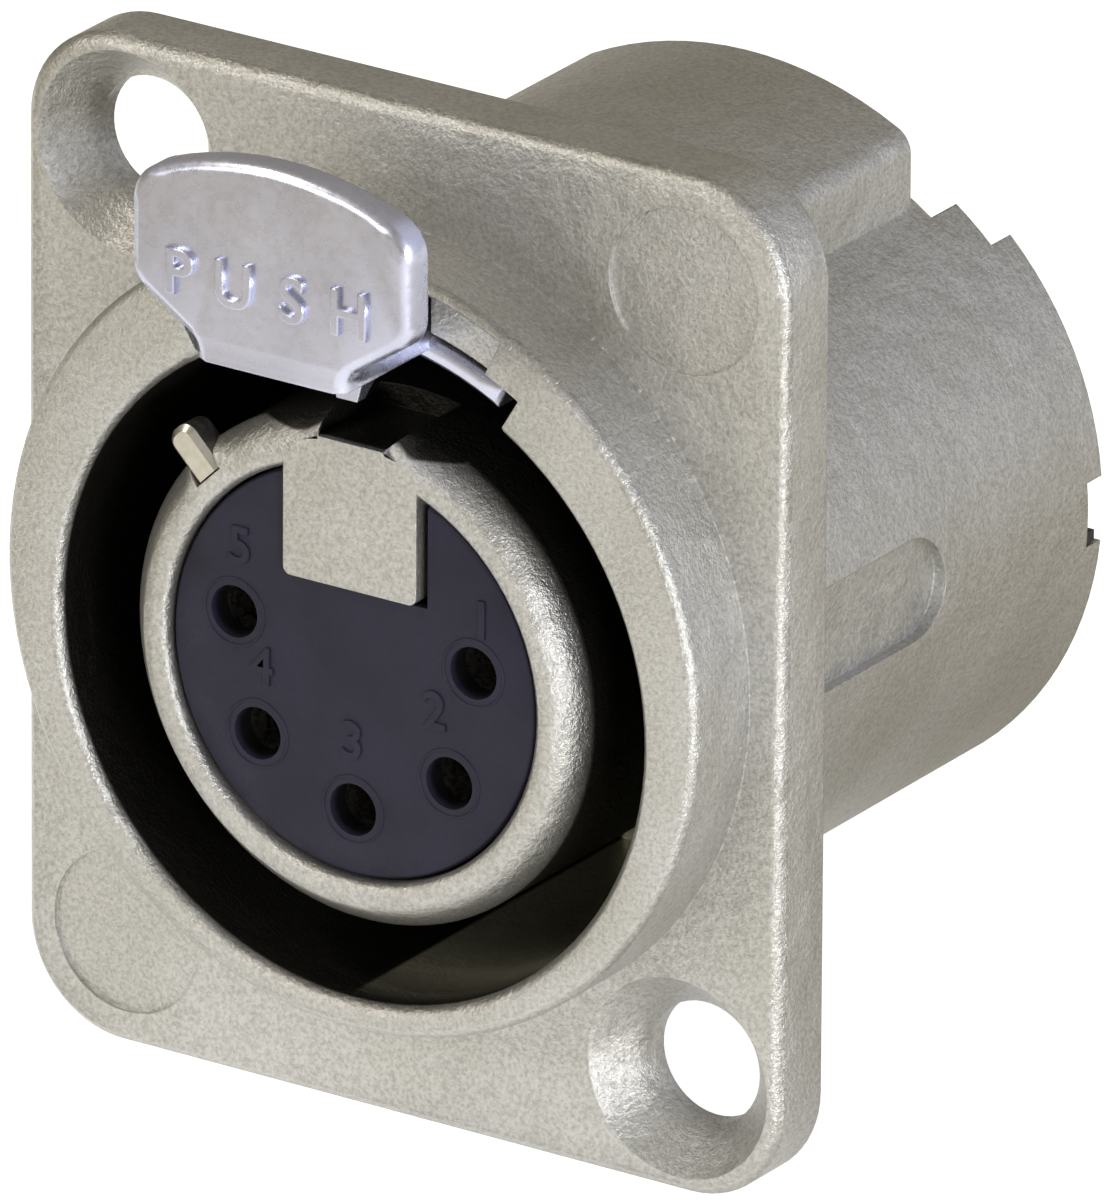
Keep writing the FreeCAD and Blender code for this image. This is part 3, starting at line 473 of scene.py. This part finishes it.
# where the painted light lies: low on the right of the wall, near the front
PAINTED_LIT_PATCH_STEPS = WALL_STEPS + [("X", -0.25, -0.05), ("Z", -4.5, -5.5), ("Y", -4.6, -1.5)]


def mask(tree, measures, steps):
    """One past all the steps, each of them (measure, where it starts, where it ends) in mm."""
    passed = 1.0
    for name, start, end in steps:
        passed = math_node(tree, "MULTIPLY", i0=passed,
                           i1=blend(tree, measures[name], start * MM, end * MM))
    return passed


axes = node(tree, "ShaderNodeSeparateXYZ", Vector=place).outputs
from_axis = node(tree, "ShaderNodeCombineXYZ", X=axes["X"],
                 Z=math_node(tree, "ADD", i0=axes["Z"], i1=-AXIS_Z * MM)).outputs[0]
radius = node(tree, "ShaderNodeVectorMath", {"operation": "LENGTH"}, i0=from_axis)
measures = {"X": axes["X"], "Y": axes["Y"], "Z": axes["Z"], "R": radius.outputs["Value"]}
# dark is the mask of painted shade over the wall, the sleeve's outside, the slot and the dip
dark = mask(tree, measures, WALL_STEPS)
for steps in (SLEEVE_STEPS, SLOT_STEPS, DIP_STEPS):
    dark = math_node(tree, "MAXIMUM", i0=dark, i1=mask(tree, measures, steps))
# the painted shade goes into the nickel's colour
shaded = mix_color(tree, dark, plated, PAINTED_SHADE)
# the painted light of the pale patch goes over the shaded colour
shaded = mix_color(tree, mask(tree, measures, PAINTED_LIT_PATCH_STEPS), shaded, PAINTED_LIT_PATCH)
coat(tree, shader, shaded, ramp(tree, grain, [(0.3, 0.46), (0.7, 0.33)]),
     bumps(tree, heights, 1.0, 0.05, 0.07))
wear(casting, nickel)

# %% [markdown]
# ## Finish of the lever
# The lever is stamped from bright steel. It is smoother and cooler than the casting, with a
# faint lavender cast and very fine marks from tumbling, so its grain is shallow and its
# roughness low enough to carry a soft mirror of the studio.

# %% Mix the bright steel of the lever
bright, tree, place, shader = principled("bright_steel", Metallic=0.92, IOR=1.6)
marks = noise(tree, place, 3.0, 4.0, 0.65)
clouds = noise(tree, place, 0.35, 1.0)
coat(tree, shader, ramp(tree, clouds, [(0.3, (0.60, 0.62, 0.78)), (0.7, (0.675, 0.70, 0.87))]),
     ramp(tree, marks, [(0.3, 0.22), (0.7, 0.36)]), bumps(tree, marks, 0.12, 0.02, 0.08))
wear(lever, bright)

# %% [markdown]
# ## Finish of the insert
# The contact carrier is a dark slate plastic with a violet cast and a fine spark-eroded texture
# from its mould. It stays matt, with a little sheen at a low angle, so only the shallow grain
# and faint clouds in the colour set it apart from flat paint. Inside the holes shade is painted:
# the colour behind the front face goes almost black, as in the opening.

# %% Mix the slate plastic of the insert
# painted shade: a near black colour for the insert behind its front face, inside the holes
PAINTED_HOLE_SHADE = (0.002, 0.002, 0.003, 1)
PAINTED_HOLE_SHADE_STEPS = [("Y", -4.45, -4.15), ("Y", 6.0, 5.0)]
slate, tree, place, shader = principled("slate_plastic", Metallic=0.0, IOR=1.46,
                                        Specular_IOR_Level=0.35)
grain = noise(tree, place, 9.0, 2.0, 0.6)
clouds = noise(tree, place, 0.5, 2.0)
tone = ramp(tree, clouds, [(0.3, (0.014, 0.014, 0.030)), (0.7, (0.021, 0.020, 0.043))])
depth = node(tree, "ShaderNodeSeparateXYZ", Vector=place).outputs["Y"]
# the painted shade covers the insert's tone from just behind its face to well inside
tone = mix_color(tree, mask(tree, {"Y": depth}, PAINTED_HOLE_SHADE_STEPS), tone, PAINTED_HOLE_SHADE)
coat(tree, shader, tone, ramp(tree, grain, [(0.3, 0.62), (0.7, 0.48)]),
     bumps(tree, grain, 0.3, 0.015))
wear(carrier, slate)

# %% [markdown]
# ## Finishes of the hidden metal and the rear ring
# The contacts are silvered, the ground strip is tinned, the spring is drawn steel and the ring
# at the rear is black moulded plastic. These nodes keep their CAD meshes, whose facets are
# fine enough at this size, and only get a better material in their first slot.

# %% Mix the finishes of the small parts and hand them out


def small_metal(name, low, high, smooth, rough, per_mm):
    """A metal whose colour and roughness vary a little between two values."""
    look, tree, place, shader = principled(name, Metallic=1.0, IOR=1.5)
    rubbed = noise(tree, place, per_mm, 3.0, 0.6)
    coat(tree, shader, ramp(tree, rubbed, [(0.3, low), (0.7, high)]),
         ramp(tree, rubbed, [(0.3, rough), (0.7, smooth)]), bumps(tree, rubbed, 0.1, 0.01))
    return look


silvered = small_metal("silvered_contact", (0.70, 0.68, 0.63), (0.84, 0.83, 0.79), 0.22, 0.34, 4.0)
tinned = small_metal("tinned_strip", (0.58, 0.56, 0.48), (0.68, 0.66, 0.60), 0.28, 0.42, 5.0)
drawn = small_metal("drawn_wire", (0.48, 0.48, 0.50), (0.60, 0.60, 0.61), 0.25, 0.38, 6.0)
black, tree, place, shader = principled("black_plastic", Metallic=0.0, IOR=1.46)
grain = noise(tree, place, 5.0, 2.0, 0.6)
coat(tree, shader, ramp(tree, grain, [(0.3, (0.020, 0.020, 0.022)), (0.7, (0.030, 0.030, 0.032))]),
     ramp(tree, grain, [(0.3, 0.55), (0.7, 0.42)]), bumps(tree, grain, 0.2, 0.015))

looks = {"latch_spring": drawn, "ground_contact": tinned, "rear_ring": black}
looks.update({"contact_%d" % number: silvered for number in range(1, 6)})
for node_name, look in looks.items():
    for slot in NODES[node_name].material_slots:
        slot.material = look
print("dressed:", sorted(looks))

# %% [markdown]
# ## Rims round the contact holes
# A faint raised rim runs round each of the five holes. One rim repeated on a circle is work for
# Geometry Nodes: points are laid out by index, a thin ring is placed on each, and the sizes
# stay named inputs of the tree. The tree ends by making the copies real and giving them their
# material, and the result is kept as a plain mesh.

# %% Lay out the tree of the rims
RIM_INPUTS = {"Count": 5, "Circle Radius": HOLE_CIRCLE_R * MM, "Rim Radius": 1.02 * MM,
              "Wire Radius": 0.04 * MM, "First Angle": math.radians(HOLE_FIRST),
              "Pitch": math.radians(HOLE_PITCH)}
tree = bpy.data.node_groups.new("rims_on_a_circle", "GeometryNodeTree")
tree.interface.new_socket("Geometry", in_out="OUTPUT", socket_type="NodeSocketGeometry")
for label, value in RIM_INPUTS.items():
    kind = "NodeSocketInt" if label == "Count" else "NodeSocketFloat"
    tree.interface.new_socket(label, in_out="INPUT", socket_type=kind).default_value = value
tree.interface.new_socket("Material", in_out="INPUT", socket_type="NodeSocketMaterial")
given = node(tree, "NodeGroupInput").outputs
index = node(tree, "GeometryNodeInputIndex").outputs[0]
turned = math_node(tree, "MULTIPLY", i0=index, i1=given["Pitch"])
angle = math_node(tree, "SUBTRACT", i0=given["First Angle"], i1=turned)
across = math_node(tree, "MULTIPLY", i0=math_node(tree, "COSINE", i0=angle),
                   i1=given["Circle Radius"])
height = math_node(tree, "MULTIPLY_ADD", i0=math_node(tree, "SINE", i0=angle),
                   i1=given["Circle Radius"], i2=AXIS_Z * MM)
spots = node(tree, "ShaderNodeCombineXYZ", X=across, Y=INSERT_FACE_Y * MM, Z=height).outputs[0]
points = node(tree, "GeometryNodePoints", Count=given["Count"], Position=spots).outputs[0]
path = node(tree, "GeometryNodeCurvePrimitiveCircle", Resolution=40,
            Radius=given["Rim Radius"]).outputs[0]
thread = node(tree, "GeometryNodeCurvePrimitiveCircle", Resolution=8,
              Radius=given["Wire Radius"]).outputs[0]
hoop = node(tree, "GeometryNodeCurveToMesh", i0=path, i1=thread).outputs[0]
upright = node(tree, "GeometryNodeTransform", Geometry=hoop,
               Rotation=(math.pi / 2, 0, 0)).outputs[0]
copies = node(tree, "GeometryNodeInstanceOnPoints", Points=points, Instance=upright).outputs[0]
real = node(tree, "GeometryNodeRealizeInstances", Geometry=copies).outputs[0]
smooth = node(tree, "GeometryNodeSetShadeSmooth", i0=real).outputs[0]
coated = node(tree, "GeometryNodeSetMaterial", Geometry=smooth,
              Material=given["Material"]).outputs[0]
node(tree, "NodeGroupOutput", i0=coated)
rims_tree = tree
print("rims tree:", len(tree.nodes), "nodes")

# %% [markdown]
# ## The rims as a plain mesh
# A modifier on an empty mesh runs the tree. Its material is an input of the tree, and such an
# input is set by the socket's identifier, which the tree's own list of sockets gives.

# %% Grow the rims with Geometry Nodes


def grown(name, tree, material):
    """Run a node tree on an empty mesh and keep what it makes as a plain object."""
    draft = bpy.data.objects.new(name + "_draft", bpy.data.meshes.new(name + "_draft"))
    modifier = draft.modifiers.new("grow", "NODES")
    modifier.node_group = tree
    for item in tree.interface.items_tree:
        if item.in_out == "INPUT" and item.name == "Material":
            modifier[item.identifier] = material
    scene.collection.objects.link(draft)
    graph = bpy.context.evaluated_depsgraph_get()
    mesh = bpy.data.meshes.new_from_object(draft.evaluated_get(graph))
    mesh.name = name
    draft.modifiers.remove(modifier)
    bpy.data.objects.remove(draft)
    made = bpy.data.objects.new(name, mesh)
    scene.collection.objects.link(made)
    return made


rims = grown("hole_rims", rims_tree, slate)
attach(rims, "base")
print("rims:", len(rims.data.polygons), "faces in", RIM_INPUTS["Count"], "rings")

# %% [markdown]
# ## Raised letters and numbers
# The lever says PUSH in raised strokes, and each contact hole has its number beside it. Text
# objects give clean letter outlines, and a little extrusion with a rounded edge makes them
# stand out as they do on a stamped or moulded part. Text has to become a mesh before its place
# is applied, so one helper does both.

# %% Raise the letters and numbers
CAPITAL_SHARE = 0.72  # height of a capital as a share of the font's size
WORD_Z = 12.00
LETTERS = [("P", -2.98, WORD_Z), ("U", -1.16, WORD_Z), ("S", 0.83, WORD_Z), ("H", 2.75, WORD_Z)]
DIGITS = [("5", -3.90, 2.06), ("4", -3.14, -1.44), ("3", -0.04, -3.02), ("2", 2.79, -1.44),
          ("1", 4.38, 1.68)]


def raised(name, pieces, face_y, height, proud, weight, soft):
    """Letters that stand proud of a face toward -Y by that much, with strokes made wider by
    weight and edges rounded by soft; pieces are (text, x, z) of each middle, all in mm."""
    shape = bmesh.new()
    for text, x, z in pieces:
        curve = bpy.data.curves.new(name, "FONT")
        curve.body = text
        curve.size = height / CAPITAL_SHARE
        curve.align_x = "CENTER"
        curve.align_y = "CENTER"
        curve.offset = weight
        curve.extrude = proud - soft
        curve.bevel_depth = soft
        curve.resolution_u = 6
        draft = bpy.data.objects.new(name, curve)
        scene.collection.objects.link(draft)
        graph = bpy.context.evaluated_depsgraph_get()
        mesh = bpy.data.meshes.new_from_object(draft.evaluated_get(graph))
        xs = [vert.co.x for vert in mesh.vertices]
        ys = [vert.co.y for vert in mesh.vertices]
        middle = Vector(((min(xs) + max(xs)) / 2, (min(ys) + max(ys)) / 2, 0))
        mesh.transform(Matrix.Translation(-middle))
        mesh.transform(Matrix.Rotation(math.pi / 2, 4, "X"))
        mesh.transform(Matrix.Translation((x, face_y, z)))
        mesh.transform(Matrix.Scale(MM, 4))
        shape.from_mesh(mesh)
        bpy.data.objects.remove(draft)
    bmesh.ops.remove_doubles(shape, verts=shape.verts, dist=1e-7)
    bmesh.ops.recalc_face_normals(shape, faces=shape.faces)
    mesh = bpy.data.meshes.new(name)
    shape.to_mesh(mesh)
    shape.free()
    return finished(name, mesh)


word = raised("push_word", LETTERS, TAB_FACE_Y + EMBOSS, 1.38, EMBOSS, 0.02, 0.03)
word.data.materials.append(bright)
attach(word, "push_latch")
numbers = raised("hole_numbers", DIGITS, INSERT_FACE_Y, 1.15, 0.07, 0.01, 0.02)
numbers.data.materials.append(slate)
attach(numbers, "base")
for piece in (word, numbers):
    spans = [max(v.co[i] for v in piece.data.vertices) - min(v.co[i] for v in piece.data.vertices)
             for i in range(3)]
    print(piece.name, "spans", [round(span / MM, 2) for span in spans], "mm")
